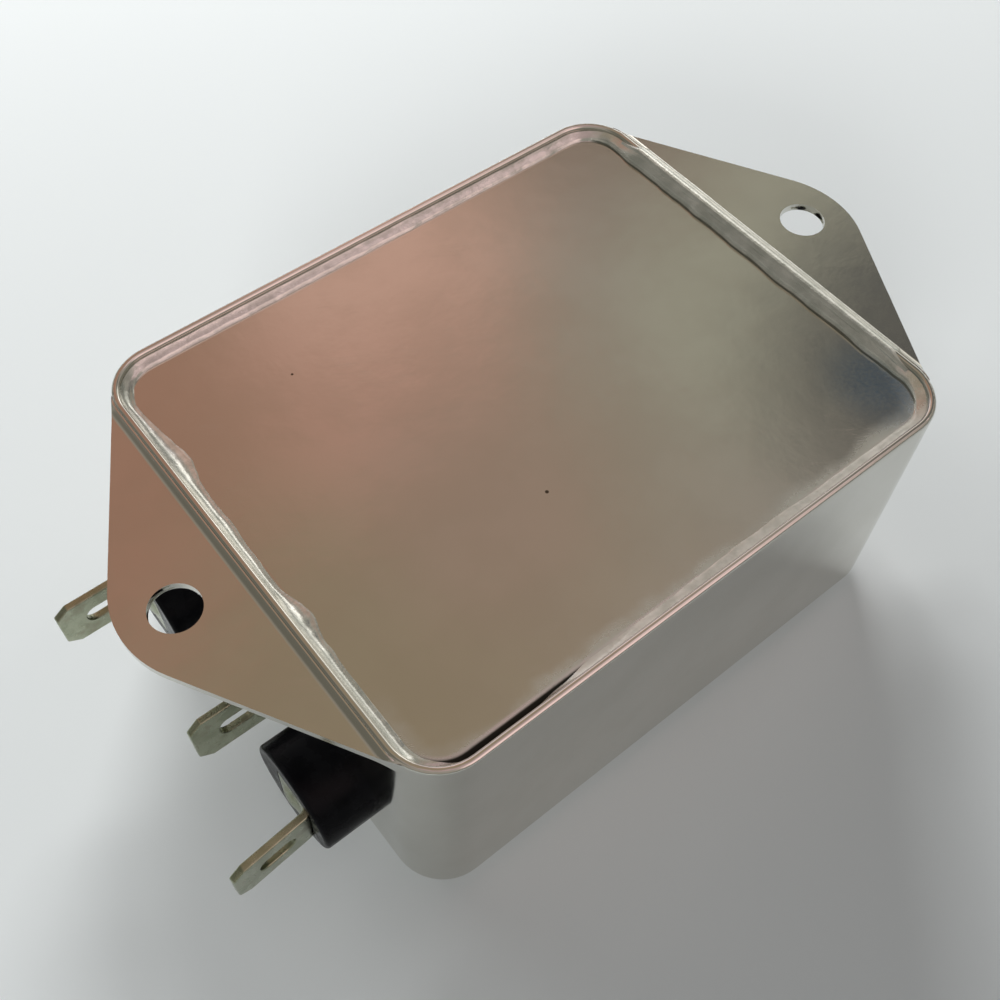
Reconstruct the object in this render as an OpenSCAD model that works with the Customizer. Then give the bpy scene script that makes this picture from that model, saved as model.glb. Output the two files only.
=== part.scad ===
// Chassis-mount mains line filter: a drawn steel case with two ears, a pressed and tinned cover,
// riveted quick-connect tabs, and the choke and capacitors that do the work inside.
// The closed face lies at z = 0 and the mounting side is up. X is the length, and the
// line end with the earth tab is at -X.

/* [Case] */
// Outside length of the drawn case
case_l = 62.6; // [58:0.1:80]
// Outside width of the drawn case
case_w = 52; // [48:0.1:64]
// Height from the closed face to the mounting face of the ears
case_h = 29.4; // [27:0.1:40]
// Thickness of the case sheet
sheet_t = 0.8; // [0.6:0.05:1]
// Outside radius of the upright corners
corner_r = 5.3; // [4.5:0.1:7]
// Outside radius round the closed face
foot_r = 2.5; // [1.5:0.1:3.5]
// How far the rim stands above the mounting face
rim_rise = 0.55; // [0.3:0.05:0.8]
// Edge radius of the rim
rim_edge_r = 0.25; // [0.1:0.05:0.25]

/* [Ears] */
// End wall to the middle of the mounting hole
hole_reach = 6.2; // [5.5:0.1:9]
// Diameter of the mounting holes
hole_d = 4.7; // [3.5:0.1:5.5]
// Middle of the mounting hole to the tip of the ear
ear_margin = 4.9; // [4:0.1:7]
// Radius of the ear's round tip
ear_tip_r = 9.7; // [7:0.1:12]
// How far the ear's root stops short of the case's side
ear_inset = 3.4; // [2.5:0.1:5]
// Bend radius under the ear
ear_bend_r = 1; // [0.5:0.1:2]
// How far the bank between the ear and the rim runs out past the end wall
rim_run = 0.9; // [0.6:0.1:2]

/* [Cover] */
// Depth of the cover's flat below the rim
cover_drop = 1.25; // [1:0.05:3]
// Thickness of the cover sheet
cover_t = 0.8; // [0.6:0.05:1]
// Gap between the cover's flange and the case wall
cover_fit = 0.05; // [0.02:0.01:0.1]
// Depth of the cover's flange below its flat
flange_l = 3; // [1.5:0.1:6]
// Outside radius where the cover turns down into its flange
cover_bend_r = 1.1; // [1:0.05:1.6]
// Width of the tin fillet that fills the groove round the cover
seam_w = 1.4; // [1.1:0.05:2]
// How far the top of the tin fillet lies below the rim
seam_set = 0.25; // [0.1:0.05:0.5]
// Hollow of the tin fillet's face
seam_sag = 0.2; // [0.1:0.05:0.3]

/* [Terminals] */
// Height of the terminals above the closed face
term_z = 11.1; // [9:0.1:16]
// Distance of each insulated terminal from the nearer side of the case
term_side = 13.3; // [11:0.1:14.4]
// Diameter of the insulator
boss_d = 11.2; // [10.5:0.1:13]
// How far the insulator stands out from the wall
boss_l = 5.7; // [4:0.1:9]
// Radius of the insulator's outer edge
boss_edge_r = 0.4; // [0.2:0.05:0.8]
// Diameter of the insulator's neck through the wall
neck_d = 7; // [6:0.1:8]
// Gap between the neck and the hole that it passes through
neck_fit = 0.05; // [0.03:0.01:0.2]
// Diameter of the insulating washer inside the wall
washer_d = 10; // [9:0.1:11]
// Thickness of the insulating washer
washer_t = 1.2; // [0.8:0.1:2]

/* [Tabs] */
// Width of a tab
tab_w = 6.3; // [4.8:0.1:6.6]
// Thickness of a tab
tab_t = 0.8; // [0.5:0.05:1]
// Length of an insulated tab from the insulator's face to the tip
tab_l = 8.4; // [7:0.05:10]
// Length of the earth tab from the end wall to the tip
earth_l = 10.1; // [8:0.05:12]
// Distance of the blade from the rivet's axis
tab_offset = 2.8; // [2.5:0.05:3.4]
// Inside bend radius between a tab's foot and blade
tab_bend_r = 0.5; // [0.3:0.05:0.6]
// Reach of the foot beyond the rivet, away from the blade
foot_reach = 2; // [1.8:0.1:3.2]
// Gap round a tab's foot in the insulator's recess
foot_fit = 0.05; // [0.03:0.01:0.2]
// Slant of the tip's corners along the blade
tip_run = 1.3; // [0.8:0.1:1.6]
// Slant of the tip's corners across the blade
tip_drop = 1; // [0.6:0.1:1.4]
// Width of the slot in the blade
slot_w = 2.1; // [1.5:0.1:2.6]
// Length of the slot in the blade
slot_l = 3.9; // [3:0.1:4.2]
// Tip of the blade to the near end of the slot
slot_start = 2.7; // [2:0.1:3.2]
// Outward lean of the first line tab, in degrees
line_tab_lean = 5; // [0:0.5:6]
// Turn of the first line terminal on its axis, in degrees
line_turn_1 = -4; // [-8:0.5:8]
// Turn of the second line terminal on its axis, in degrees
line_turn_2 = 2; // [-8:0.5:8]
// Turn of the earth tab on its rivet, in degrees
earth_turn = 3.5; // [-8:0.5:8]

/* [Rivets] */
// Diameter of the rivets
rivet_d = 2.2; // [1.8:0.1:2.4]
// Diameter of the rivet heads
rivet_head_d = 3.2; // [2.6:0.1:3.2]
// Height of the rivet heads
rivet_head_h = 0.4; // [0.3:0.05:1]
// Gap round a rivet
rivet_fit = 0.05; // [0.03:0.01:0.1]
// Thickness of the solder lugs inside
lug_t = 0.5; // [0.4:0.05:0.8]
// Width of the solder lugs
lug_w = 5; // [4:0.1:6]
// Height of a solder lug's tail above the rivet
lug_h = 6.5; // [5:0.1:8]

/* [Choke] */
// Outside diameter of the choke's core
core_d = 25; // [23:0.1:28]
// Inside diameter of the choke's core
core_bore = 13.5; // [12.5:0.1:15]
// Height of the choke's core
core_h = 10; // [8:0.1:14]
// Edge radius of the core's coating
core_edge_r = 1; // [0.5:0.1:1.5]
// Diameter of the winding wire
wire_d = 1.3; // [1:0.05:1.5]
// Turns in each winding
turns = 8; // [5:1:8]
// Gap between the winding and the core
wire_fit = 0.1; // [0.05:0.01:0.2]
// Thickness of the plate between the windings
divider_t = 1.6; // [1:0.1:2]
// Gap between that plate and the core's bore
divider_fit = 0.1; // [0.05:0.05:0.3]

/* [Capacitors] */
// Length of the film capacitors
film_l = 26; // [22:0.5:30]
// Thickness of the film capacitors
film_t = 7.5; // [6:0.1:8.5]
// Height of the film capacitors
film_h = 15; // [12:0.1:17]
// Spacing of a film capacitor's pins
pin_pitch = 15; // [12.5:0.5:18]
// Gap between a film capacitor and the winding
film_gap = 1; // [0.5:0.1:2]
// Diameter of the disc capacitors
disc_d = 9; // [7:0.1:9.4]
// Thickness of the disc capacitors
disc_t = 3.5; // [2.5:0.1:4]
// Gap round a disc capacitor
disc_gap = 0.3; // [0.2:0.05:0.5]
// Diameter of the resistor's body
resistor_d = 3; // [2:0.1:3.5]
// Length of the resistor's body
resistor_l = 8.5; // [6:0.1:10]
// Diameter of the capacitors' and the resistor's pins
pin_d = 0.7; // [0.5:0.05:0.9]
// Length of those pins above a film capacitor
pin_l = 4; // [3.5:0.1:6]
// Gap at each soldered joint
joint_gap = 0.1; // [0.05:0.05:0.2]
// Diameter of the insulated leads
lead_d = 1.8; // [1.4:0.1:2.2]
// Thickness of the insulating sheet under the parts
sheet_ins_t = 0.3; // [0.2:0.05:0.6]

/* [Hidden] */
$fn = 64;

tinned = [0.62, 0.61, 0.57];
bright_tin = [0.8, 0.8, 0.78];
black_plastic = [0.05, 0.05, 0.06];
nickel = [0.58, 0.57, 0.5];
fibre = [0.55, 0.42, 0.28];
ferrite_green = [0.15, 0.3, 0.2];
copper = [0.72, 0.38, 0.18];
film_yellow = [0.85, 0.7, 0.2];
ceramic_blue = [0.15, 0.35, 0.6];
resistor_tan = [0.75, 0.6, 0.42];
lead_white = [0.85, 0.85, 0.82];

half_l = case_l / 2;
half_w = case_w / 2;
rim_z = case_h + rim_rise;
cover_z = rim_z - cover_drop;
flange_u = corner_r - sheet_t - cover_fit;       // outer face of the cover's flange
bend_u = flange_u - cover_bend_r;                // centre of the cover's bend
bend_z = cover_z - cover_bend_r;
crest_u = corner_r - sheet_t + rim_edge_r;       // where the flat of the rim starts
term_y = half_w - term_side;
hole_x = half_l + hole_reach;
ear_x = hole_x + ear_margin - ear_tip_r;         // centre of the ear's tip arc
root_y = half_w - ear_inset;
root_dy = max(0, root_y - (half_w - corner_r));
root_x = half_l - corner_r + sqrt(corner_r * corner_r - root_dy * root_dy);
bank_run = corner_r + rim_run - crest_u;
bank_r = (bank_run * bank_run + rim_rise * rim_rise) / (4 * rim_rise);
blade_p = tab_offset - tab_t / 2 - tab_bend_r;   // where a tab's foot starts to bend
wall_in = half_l - sheet_t;                      // inner face of the end walls
lug_x = wall_in - washer_t;                      // face of the washer that carries a lug
bed_z = sheet_t + sheet_ins_t;                   // top of the insulating sheet
core_z = bed_z + wire_d + wire_fit;
coil_r = core_d / 2 + wire_fit + wire_d;         // outside radius of the windings
film_x = coil_r + film_gap + film_t / 2;         // middle of a film capacitor
film_top = bed_z + film_h;
pin_top = film_top + pin_l;
coil_angle = atan2(pin_pitch / 2, film_x);       // where a winding starts, from the length axis
tail_z = pin_top - wire_d / 2;
tail_r = film_x / cos(coil_angle) - pin_d / 2 - joint_gap;
core_mid = (core_d + core_bore) / 4;             // middle of the core's section
core_half_w = (core_d - core_bore) / 4;
turn_r = core_edge_r + wire_fit + wire_d / 2;
wire_r = core_d / 2 + wire_fit + wire_d / 2;     // radius of the winding's outer strands
corner_steps = 5;
lug_top = term_z + lug_h;
disc_x = lug_x - lug_t - rivet_head_h - disc_t / 2 - disc_gap;
disc_y = disc_d / 2 + disc_gap;
disc_slope = [disc_x - film_x, disc_y - pin_pitch / 2] / norm([disc_x - film_x, disc_y - pin_pitch / 2]);
rivet_end = -wall_in + rivet_head_h / 2;         // middle of the earth rivet's inner head

// ---- shared shapes ----

// Sweeps an upright profile round a rectangle with round corners. The profile's x is
// the distance outwards from the line through the corner centres.
module round_the_case(l, w, r) {
    for (a = [0, 90, 180, 270]) {
        run = (a % 180 == 0) ? w - 2 * r : l - 2 * r;
        reach = (a % 180 == 0) ? l / 2 - r : w / 2 - r;
        rotate(a) translate([reach, run / 2, 0]) {
            rotate([90, 0, 0]) linear_extrude(run) children();
            rotate_extrude(angle = 90) children();
        }
    }
}

// A flat rectangle with round corners
module round_rect(l, w, r) {
    square([l - 2 * r, w], center = true);
    square([l, w - 2 * r], center = true);
    for (x = [-1, 1], y = [-1, 1]) translate([x * (l / 2 - r), y * (w / 2 - r)]) circle(r);
}

// A bar with rounded corners through a list of points
module wire(points, d) {
    for (i = [0 : len(points) - 2]) {
        step = points[i + 1] - points[i];
        length = norm(step);
        translate(points[i])
            rotate([0, acos(step.z / length), atan2(step.y, step.x)]) cylinder(d = d, h = length, $fn = 24);
    }
    if (len(points) > 2)
        for (i = [1 : len(points) - 2]) translate(points[i]) sphere(d = d, $fn = 24);
}

// Places a part at an insulated terminal. End is -1 for the line end and 1 for the load
// end, and side is the sign of Y. The part's +Z points out of the end wall and its +X
// points towards the nearer long side.
module at_terminal(end, side, y = term_y) {
    translate([end * half_l, side * y, term_z])
        multmatrix([[0, 0, end, 0], [side, 0, 0, 0], [0, 1, 0, 0]]) children();
}

// ---- case ----

// Section of the case wall and of the floor beside it
module wall_profile() {
    edge_z = rim_z - rim_edge_r;
    difference() {
        union() {
            translate([0, foot_r]) square([corner_r, edge_z - foot_r]);
            square([corner_r - foot_r, foot_r]);
            translate([corner_r - foot_r, foot_r]) circle(foot_r);
        }
        translate([0, foot_r]) square([corner_r - sheet_t, rim_z]);
        translate([0, sheet_t]) square([corner_r - foot_r, foot_r]);
        translate([corner_r - foot_r, foot_r]) circle(foot_r - sheet_t);
    }
    translate([crest_u, edge_z]) square([sheet_t - 2 * rim_edge_r, rim_edge_r]);
    for (u = [crest_u, corner_r - rim_edge_r]) translate([u, edge_z]) circle(rim_edge_r);
}

// Section of the bend under an ear
module ear_bend_profile() {
    difference() {
        translate([corner_r - sheet_t / 2, case_h - sheet_t - ear_bend_r])
            square([ear_bend_r + sheet_t / 2, ear_bend_r]);
        translate([corner_r + ear_bend_r, case_h - sheet_t - ear_bend_r]) circle(ear_bend_r);
    }
}

// Section of the bank that leads from the rim down to the ear: a round shoulder, then a hollow
module ear_bank_profile() {
    translate([crest_u, case_h]) {
        intersection() {
            square([bank_run / 2, rim_rise]);
            translate([0, rim_rise - bank_r]) circle(bank_r);
        }
        difference() {
            translate([bank_run / 2, 0]) square([bank_run / 2, rim_rise / 2]);
            translate([bank_run, bank_r]) circle(bank_r);
        }
    }
}

// Flat outline of the ear on the +X end: straight flanks that run into a round tip
module ear_outline() {
    span = [ear_x - root_x, -root_y];
    flank = sqrt(span * span - ear_tip_r * ear_tip_r);
    lean = atan2(span.y, span.x) + asin(ear_tip_r / norm(span));
    touch = [root_x + flank * cos(lean), root_y + flank * sin(lean)];
    difference() {
        union() {
            polygon([[half_l - corner_r, root_y], [root_x, root_y], touch, [touch.x, -touch.y],
                [root_x, -root_y], [half_l - corner_r, -root_y]]);
            translate([ear_x, 0]) circle(ear_tip_r, $fn = 96);
        }
        translate([-half_l, -half_w]) square([case_l - corner_r, case_w]);
    }
}

module can() {
    color(tinned) difference() {
        union() {
            round_the_case(case_l, case_w, corner_r) wall_profile();
            translate([0, 0, sheet_t / 2])
                cube([case_l - 2 * corner_r, case_w - 2 * corner_r, sheet_t], center = true);
            for (end = [0, 180]) rotate(end) {
                translate([0, 0, case_h - sheet_t]) linear_extrude(sheet_t) difference() {
                    ear_outline();
                    round_rect(case_l - sheet_t, case_w - sheet_t, corner_r - sheet_t / 2);
                }
                intersection() {
                    round_the_case(case_l, case_w, corner_r) {
                        ear_bend_profile();
                        ear_bank_profile();
                    }
                    translate([0, 0, case_h - sheet_t - ear_bend_r])
                        linear_extrude(sheet_t + ear_bend_r + rim_rise) ear_outline();
                }
            }
        }
        for (end = [-1, 1]) {
            translate([end * hole_x, 0, case_h - 2 * sheet_t]) cylinder(d = hole_d, h = 4 * sheet_t);
            for (side = [-1, 1]) at_terminal(end, side)
                translate([0, 0, -2 * sheet_t]) cylinder(d = neck_d + 2 * neck_fit, h = 3 * sheet_t);
        }
        at_terminal(-1, 1, 0)
            translate([0, 0, -2 * sheet_t]) cylinder(d = rivet_d + 2 * rivet_fit, h = 3 * sheet_t);
    }
}

// ---- cover ----

// Section of the cover: its flat, the bend and the flange that turns down inside the wall
module cover_profile() {
    difference() {
        union() {
            translate([0, bend_z]) square([bend_u, cover_bend_r]);
            translate([bend_u, bend_z]) circle(cover_bend_r);
            translate([bend_u, cover_z - flange_l]) square([cover_bend_r, flange_l - cover_bend_r]);
        }
        translate([0, bend_z - cover_bend_r]) square([bend_u, 2 * cover_bend_r - cover_t]);
        translate([bend_u, bend_z]) circle(cover_bend_r - cover_t);
        translate([0, cover_z - 2 * flange_l]) square([flange_u - cover_t, 2 * flange_l - cover_bend_r]);
    }
}

module cover() {
    color(tinned) {
        round_the_case(case_l, case_w, corner_r) cover_profile();
        translate([0, 0, cover_z - cover_t / 2])
            cube([case_l - 2 * corner_r, case_w - 2 * corner_r, cover_t], center = true);
    }
}

// Tin that was run into the groove between the cover's bend and the case wall
module tin_seam() {
    foot = cover_z + cover_fit;
    toe = [flange_u - seam_w, foot];
    head = [flange_u, rim_z - seam_set];
    chord = head - toe;
    span = norm(chord);
    hollow_r = (span * span / 4 + seam_sag * seam_sag) / (2 * seam_sag);
    hollow = (toe + head) / 2 + (hollow_r - seam_sag) / span * [-chord.y, chord.x];
    color(bright_tin) round_the_case(case_l, case_w, corner_r) difference() {
        polygon([toe, [bend_u, bend_z], [flange_u, bend_z], head]);
        translate(hollow) circle(hollow_r, $fn = 192);
        translate([bend_u, bend_z]) circle(cover_bend_r + cover_fit);
        translate([0, bend_z]) square([bend_u, cover_bend_r + cover_fit]);
    }
}

// ---- insulated terminals ----

// Insulator: a round boss with a recess for the tab's foot, and a neck through the wall
// and the washer
module insulator() {
    color(black_plastic) difference() {
        rotate_extrude() difference() {
            union() {
                square([boss_d / 2, boss_l - boss_edge_r]);
                square([boss_d / 2 - boss_edge_r, boss_l]);
                translate([boss_d / 2 - boss_edge_r, boss_l - boss_edge_r]) circle(boss_edge_r);
                translate([0, -sheet_t - washer_t]) square([neck_d / 2, sheet_t + washer_t]);
            }
            translate([-boss_d, -boss_l]) square([boss_d + rivet_d / 2 + rivet_fit, 3 * boss_l]);
        }
        translate([-foot_reach - foot_fit, -tab_w / 2 - foot_fit, boss_l - tab_t])
            cube([foot_reach + tab_offset + tab_t / 2 + 2 * foot_fit, tab_w + 2 * foot_fit, 2 * tab_t]);
    }
}

// Bent section of a tab: the foot lies on its seat and the blade stands out from it.
// Lean opens the bend outwards.
module tab_profile(length, lean) {
    outer_r = tab_bend_r + tab_t;
    translate([-foot_reach, 0]) square([foot_reach + blade_p, tab_t]);
    translate([blade_p, outer_r]) {
        intersection() {
            difference() {
                circle(outer_r);
                circle(tab_bend_r);
            }
            polygon([[0, 0], [0, -2 * outer_r], [2 * outer_r, -2 * outer_r],
                2 * outer_r * [cos(lean), -sin(lean)]]);
        }
        rotate(-lean) translate([tab_bend_r, 0]) square([tab_t, length - outer_r]);
    }
}

// Side view of a tab: slanted tip corners and the slot for a wire
module tab_outline(length) {
    difference() {
        polygon([[0, -tab_w / 2], [length - tip_run, -tab_w / 2], [length, tip_drop - tab_w / 2],
            [length, tab_w / 2 - tip_drop], [length - tip_run, tab_w / 2], [0, tab_w / 2]]);
        for (x = [length - slot_start - slot_w / 2, length - slot_start - slot_l + slot_w / 2])
            translate([x, 0]) circle(slot_w / 2);
        translate([length - slot_start - slot_l + slot_w / 2, -slot_w / 2]) square([slot_l - slot_w, slot_w]);
    }
}

// A tab on its seat: +Z leads out of the wall and the blade stands on the +X side
module tab(length, lean = 0) {
    reach = foot_reach + tab_offset + length;
    color(nickel) difference() {
        intersection() {
            translate([0, tab_w / 2, 0]) rotate([90, 0, 0]) linear_extrude(tab_w) tab_profile(length, lean);
            translate([-foot_reach, 0, 0]) rotate([0, -90, 180]) linear_extrude(reach) tab_outline(length);
        }
        translate([0, 0, -tab_t]) cylinder(d = rivet_d + 2 * rivet_fit, h = 3 * tab_t);
    }
}

// Rivet with a domed head at each end; from and to are the faces that it clamps
module rivet(from, to) {
    dome_r = (pow(rivet_head_d / 2, 2) + rivet_head_h * rivet_head_h) / (2 * rivet_head_h);
    color(nickel) rotate_extrude() difference() {
        union() {
            translate([0, from]) square([rivet_d / 2, to - from]);
            intersection() {
                translate([0, to]) square([rivet_head_d / 2, rivet_head_h]);
                translate([0, to + rivet_head_h - dome_r]) circle(dome_r);
            }
            translate([0, from - rivet_head_h]) square([rivet_head_d / 2, rivet_head_h]);
        }
        translate([-dome_r, from - dome_r]) square([dome_r, to - from + 2 * dome_r]);
    }
}

module line_insulator_1() { at_terminal(-1, -1) rotate(line_turn_1) insulator(); }
module line_insulator_2() { at_terminal(-1, 1) rotate(line_turn_2) insulator(); }
module load_insulator_1() { at_terminal(1, -1) insulator(); }
module load_insulator_2() { at_terminal(1, 1) insulator(); }

// A tab with its foot flush in the insulator's recess
module boss_tab(lean = 0) { translate([0, 0, boss_l - tab_t]) tab(tab_l + tab_t, lean); }

module line_tab_1() { at_terminal(-1, -1) rotate(line_turn_1) boss_tab(line_tab_lean); }
module line_tab_2() { at_terminal(-1, 1) rotate(line_turn_2) boss_tab(); }
module load_tab_1() { at_terminal(1, -1) boss_tab(); }
module load_tab_2() { at_terminal(1, 1) boss_tab(); }
module earth_tab() { at_terminal(-1, -1, 0) rotate(earth_turn) tab(earth_l); }

module each_terminal() {
    for (end = [-1, 1], side = [-1, 1]) at_terminal(end, side) children();
}

module terminal_rivets() {
    each_terminal() rivet(-sheet_t - washer_t - lug_t, boss_l);
}

module earth_rivet() { at_terminal(-1, -1, 0) rivet(-sheet_t, tab_t); }

module inner_washers() {
    color(fibre) each_terminal() translate([0, 0, -sheet_t - washer_t]) difference() {
        cylinder(d = washer_d, h = washer_t);
        translate([0, 0, -washer_t]) cylinder(d = neck_d + 2 * neck_fit, h = 3 * washer_t);
    }
}

// Flat lug with an upright tail and a hole for the lead
module solder_lugs() {
    hole = lug_w / 3;
    color(nickel) each_terminal() translate([0, 0, -sheet_t - washer_t - lug_t]) linear_extrude(lug_t)
        difference() {
            union() {
                circle(d = lug_w);
                translate([-hole, 0]) square([2 * hole, lug_h - hole]);
                translate([0, lug_h - hole]) circle(hole);
            }
            circle(d = rivet_d + 2 * rivet_fit);
            translate([0, lug_h - hole]) circle(d = hole);
        }
}

// ---- inside parts ----

module insulating_sheet() {
    color(fibre) translate([0, 0, sheet_t]) linear_extrude(sheet_ins_t)
        round_rect(case_l - 2 * foot_r - sheet_t, case_w - 2 * foot_r - sheet_t, corner_r - foot_r);
}

module choke_core() {
    color(ferrite_green) translate([0, 0, core_z]) rotate_extrude($fn = 96)
        translate([core_mid, core_h / 2]) round_rect(2 * core_half_w, core_h, core_edge_r);
}

// Plate that keeps the two windings apart, wedged across the core's bore
module choke_divider() {
    width = core_bore - 2 * divider_fit;
    height = core_h + 2 * wire_d;
    color(lead_white) translate([-width / 2, -divider_t / 2, bed_z]) cube([width, divider_t, height]);
}

// Step of a turn round the core's section, as [radius, height]: down the outer side, in
// below the core, up inside the bore and out over the top
function turn_point(i) =
    let (corner = floor(i / corner_steps) % 4,
        a = -90 * corner - 90 * (i % corner_steps) / (corner_steps - 1),
        out = (corner == 0 || corner == 3) ? 1 : -1,
        up = (corner > 1) ? 1 : -1)
    [core_mid + out * (core_half_w - core_edge_r) + turn_r * cos(a),
        core_z + core_h / 2 + up * (core_h / 2 - core_edge_r) + turn_r * sin(a)];

// Route of a winding as [radius, height, angle]: from a capacitor's pin to the core, round
// it, and up again to the other capacitor
function coil_route() =
    let (sweep = 180 - 2 * coil_angle, last = turns * 4 * corner_steps - corner_steps,
        end = 180 - coil_angle,
        over = core_z + core_h + wire_fit + wire_d / 2)
    concat(
        [[tail_r, tail_z, coil_angle], [wire_r + wire_d, tail_z, coil_angle],
            [wire_r + wire_d / 4, tail_z - wire_d / 4, coil_angle], [wire_r, tail_z - wire_d, coil_angle]],
        [for (i = [0 : last - 1])
            let (p = turn_point(i)) [p[0], p[1], coil_angle + sweep * i / last]],
        [[wire_r - wire_d, over, end], [wire_r - wire_d / 4, over + wire_d / 4, end],
            [wire_r, over + wire_d, end], [wire_r, tail_z - wire_d, end],
            [wire_r + wire_d / 4, tail_z - wire_d / 4, end], [wire_r + wire_d, tail_z, end],
            [tail_r, tail_z, end]]);

// Sweeps a round wire along the route, with its sides set across the turning direction
module coil(mirrored) {
    route = coil_route();
    sides = 6;
    count = len(route);
    along = function (i) [route[i][0] * cos(route[i][2]), route[i][0] * sin(route[i][2]), route[i][1]];
    points = [for (i = [0 : count - 1])
        let (here = along(i),
            ahead = along(min(i + 1, count - 1)) - along(max(i - 1, 0)),
            forward = ahead / norm(ahead),
            side_raw = [-sin(route[i][2]), cos(route[i][2]), 0],
            side_flat = side_raw - (side_raw * forward) * forward,
            side = side_flat / norm(side_flat),
            up = cross(forward, side))
        for (k = [0 : sides - 1])
            here + wire_d / 2 * (cos(360 * k / sides) * side + sin(360 * k / sides) * up)];
    faces = concat(
        [[for (k = [0 : sides - 1]) k]],
        [for (i = [0 : count - 2], k = [0 : sides - 1])
            let (a = i * sides + k, b = i * sides + (k + 1) % sides)
            [a, a + sides, b + sides, b]],
        [[for (k = [sides - 1 : -1 : 0]) (count - 1) * sides + k]]);
    color(copper) mirror([0, mirrored, 0]) polyhedron(points, faces);
}

module winding_1() { coil(1); }
module winding_2() { coil(0); }

module film_capacitor(end) {
    color(film_yellow) translate([end * film_x, 0, bed_z]) {
        translate([-film_t / 2, -film_l / 2, 0]) cube([film_t, film_l, film_h]);
        for (side = [-1, 1])
            translate([0, side * pin_pitch / 2, film_h / 2]) cylinder(d = pin_d, h = film_h / 2 + pin_l, $fn = 24);
    }
}

module line_film_capacitor() { film_capacitor(-1); }
module load_film_capacitor() { film_capacitor(1); }

// Disc with one pin to a film capacitor's pin and one to the earth rivet
module disc_capacitor(side) {
    over = film_top + pin_d + joint_gap;
    beside = pin_pitch / 2 - (pin_d + joint_gap) * disc_slope.y;
    short_x = -disc_x - disc_t / 4;
    color(ceramic_blue) {
        translate([-disc_x - disc_t / 2, side * disc_y, bed_z + disc_d / 2])
            rotate([0, 90, 0]) cylinder(d = disc_d, h = disc_t);
        wire([[-disc_x, side * disc_y, bed_z + disc_d / 2], [-disc_x, side * disc_y, over],
            [-film_x - (pin_d + joint_gap) * disc_slope.x, side * beside, over]], pin_d);
        wire([[short_x, side * disc_y / 2, bed_z + disc_d / 2], [short_x, side * disc_y / 2, term_z],
            [rivet_end, side * (rivet_head_d / 2 + pin_d), term_z]], pin_d);
    }
}

module disc_capacitor_1() { disc_capacitor(-1); }
module disc_capacitor_2() { disc_capacitor(1); }

// Resistor that lies on the load capacitor, between its pins
module bleed_resistor() {
    reach = pin_pitch / 2 - pin_d / 2 - joint_gap;
    color(resistor_tan) translate([film_x, 0, film_top + resistor_d / 2]) rotate([90, 0, 0]) {
        cylinder(d = resistor_d, h = resistor_l, center = true);
        cylinder(d = pin_d, h = 2 * reach, center = true, $fn = 24);
    }
}

// Insulated lead from a solder lug to a film capacitor's pin
module lead(end, side) {
    start = [lug_x - lug_t - lead_d / 2 - joint_gap, term_y];
    pin = [film_x, pin_pitch / 2];
    stop = pin + (start - pin) * (pin_d / 2 + joint_gap) / norm(start - pin);
    top = pin_top - lead_d / 2;
    color(lead_white) wire([[end * start.x, side * start.y, lug_top - lug_w / 3],
        [end * start.x, side * start.y, top], [end * stop.x, side * stop.y, top]], lead_d);
}

module line_lead_1() { lead(-1, -1); }
module line_lead_2() { lead(-1, 1); }
module load_lead_1() { lead(1, -1); }
module load_lead_2() { lead(1, 1); }

can();
cover();
tin_seam();
line_insulator_1();
line_insulator_2();
load_insulator_1();
load_insulator_2();
line_tab_1();
line_tab_2();
load_tab_1();
load_tab_2();
earth_tab();
terminal_rivets();
earth_rivet();
inner_washers();
solder_lugs();
insulating_sheet();
choke_core();
choke_divider();
winding_1();
winding_2();
line_film_capacitor();
load_film_capacitor();
disc_capacitor_1();
disc_capacitor_2();
bleed_resistor();
line_lead_1();
line_lead_2();
load_lead_1();
load_lead_2();
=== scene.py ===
# Looks of a chassis-mount mains line filter: a tinned case, a soldered cover,
# black insulators and plated tabs. The scene is in metres, in the CAD's own frame.
import math

import bmesh
import bpy
from mathutils import Matrix, Vector, noise


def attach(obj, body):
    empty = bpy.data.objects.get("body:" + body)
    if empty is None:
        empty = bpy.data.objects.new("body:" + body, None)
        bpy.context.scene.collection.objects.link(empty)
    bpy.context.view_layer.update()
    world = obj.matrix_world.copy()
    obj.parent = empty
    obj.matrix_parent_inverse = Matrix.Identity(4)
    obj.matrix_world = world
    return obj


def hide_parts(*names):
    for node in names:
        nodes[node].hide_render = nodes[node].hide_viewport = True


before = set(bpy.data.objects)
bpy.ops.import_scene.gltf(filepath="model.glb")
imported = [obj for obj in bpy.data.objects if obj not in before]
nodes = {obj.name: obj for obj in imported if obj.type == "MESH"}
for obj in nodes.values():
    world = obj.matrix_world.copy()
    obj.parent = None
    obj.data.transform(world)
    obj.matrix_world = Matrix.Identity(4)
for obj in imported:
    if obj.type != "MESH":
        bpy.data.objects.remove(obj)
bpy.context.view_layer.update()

mm = 0.001
scene = bpy.context.scene
print("frame loaded:", len(nodes), "nodes")


cameraSettings = {
    "eye": (-47.47, -51.89, 116.87),      # mm
    "target": (-9.66, -8.07, 29.4),       # mm, on the plane of the ears
    "roll": 2.5,                          # degrees
    "lens": 42.94,
    "sensor": 36,                         # mm
    "clip": (0.005, 20),                  # m
}


def makeCamera(s):
    data = bpy.data.cameras.new("camera")
    data.lens = s["lens"]
    data.sensor_width = s["sensor"]
    data.clip_start, data.clip_end = s["clip"]
    camera = bpy.data.objects.new("camera", data)
    scene.collection.objects.link(camera)
    eye = Vector(s["eye"]) * mm
    look = Vector(s["target"]) * mm - eye
    turn = look.to_track_quat("-Z", "Y").to_matrix().to_4x4()
    camera.matrix_world = Matrix.Translation(eye) @ turn @ Matrix.Rotation(math.radians(s["roll"]), 4, "Z")
    scene.camera = camera


makeCamera(cameraSettings)
print("camera placed")


def rgba(colour):
    return (*colour, 1.0)


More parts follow.
